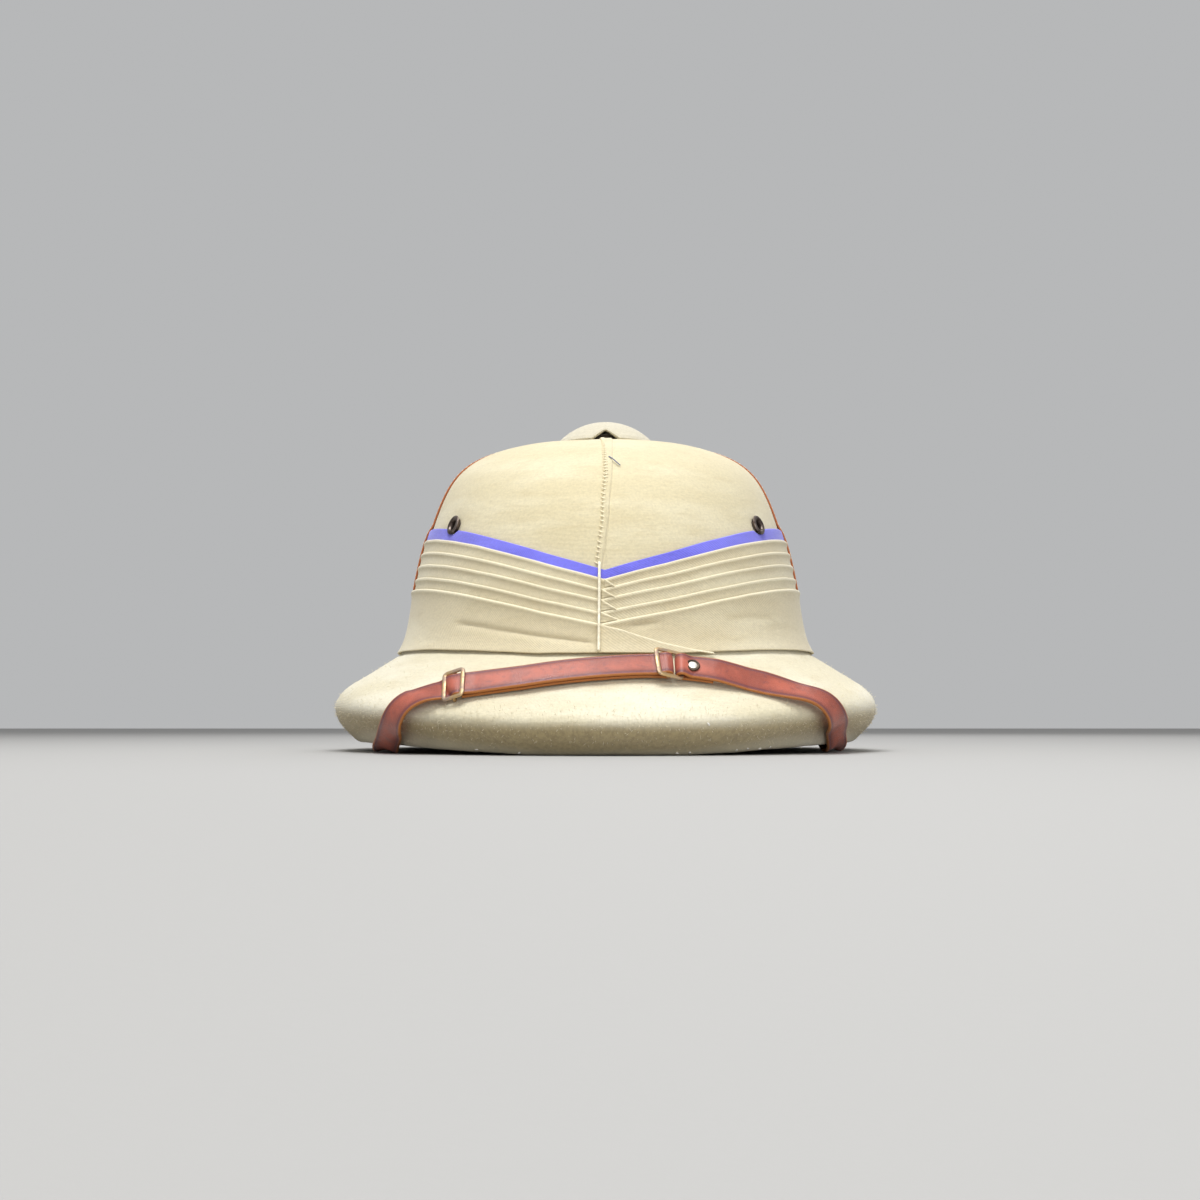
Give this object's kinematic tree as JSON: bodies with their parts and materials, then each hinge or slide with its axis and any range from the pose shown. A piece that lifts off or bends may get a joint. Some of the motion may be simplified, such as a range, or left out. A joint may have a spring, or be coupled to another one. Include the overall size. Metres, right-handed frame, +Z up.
{
  "type": "pith helmet",
  "caption": "Rigid sun helmet with a rounded vented crown wound in pleated cloth, a thick sloping oval brim and a leather chin strap worn over the brim's front.",
  "frame": {"origin": "centre of the footprint at the level of the rim's lowest edge, which rests on the floor", "axes": "+Z up through the crown, -Y towards the front, +X to the right as seen by someone facing the front"},
  "size_m": [0.27, 0.35, 0.1667],
  "materials": {
    "canvas": "matt drill canvas, lightly soiled",
    "wound_cloth": "matt twill cloth with pale fold edges",
    "flash_cloth": "matt felt cloth",
    "strap_leather": "waxed strap leather with creased edge lines and pale raw edges",
    "strip_leather": "thin tan leather",
    "brass": "worn brass",
    "dark_metal": "dark tarnished metal"
  },
  "bodies": {
    "root": {"crown": "canvas", "brim": "canvas", "vent_collar": "canvas", "vent_cap": "canvas", "eyelet_left": "dark_metal", "eyelet_right": "dark_metal", "side_strip_left": "strip_leather", "side_strip_right": "strip_leather", "puggaree_flash": "flash_cloth", "puggaree_fold_1": "wound_cloth", "puggaree_fold_2": "wound_cloth", "puggaree_fold_3": "wound_cloth", "puggaree_fold_4": "wound_cloth", "puggaree_band": "wound_cloth", "puggaree_tape": "wound_cloth", "chin_strap_long": "strap_leather", "chin_strap_short": "strap_leather", "strap_slide": "brass", "strap_ring": "brass", "strap_rivet": "brass", "strap_post_left": "dark_metal", "strap_post_right": "dark_metal"}
  },
  "joints": []
}
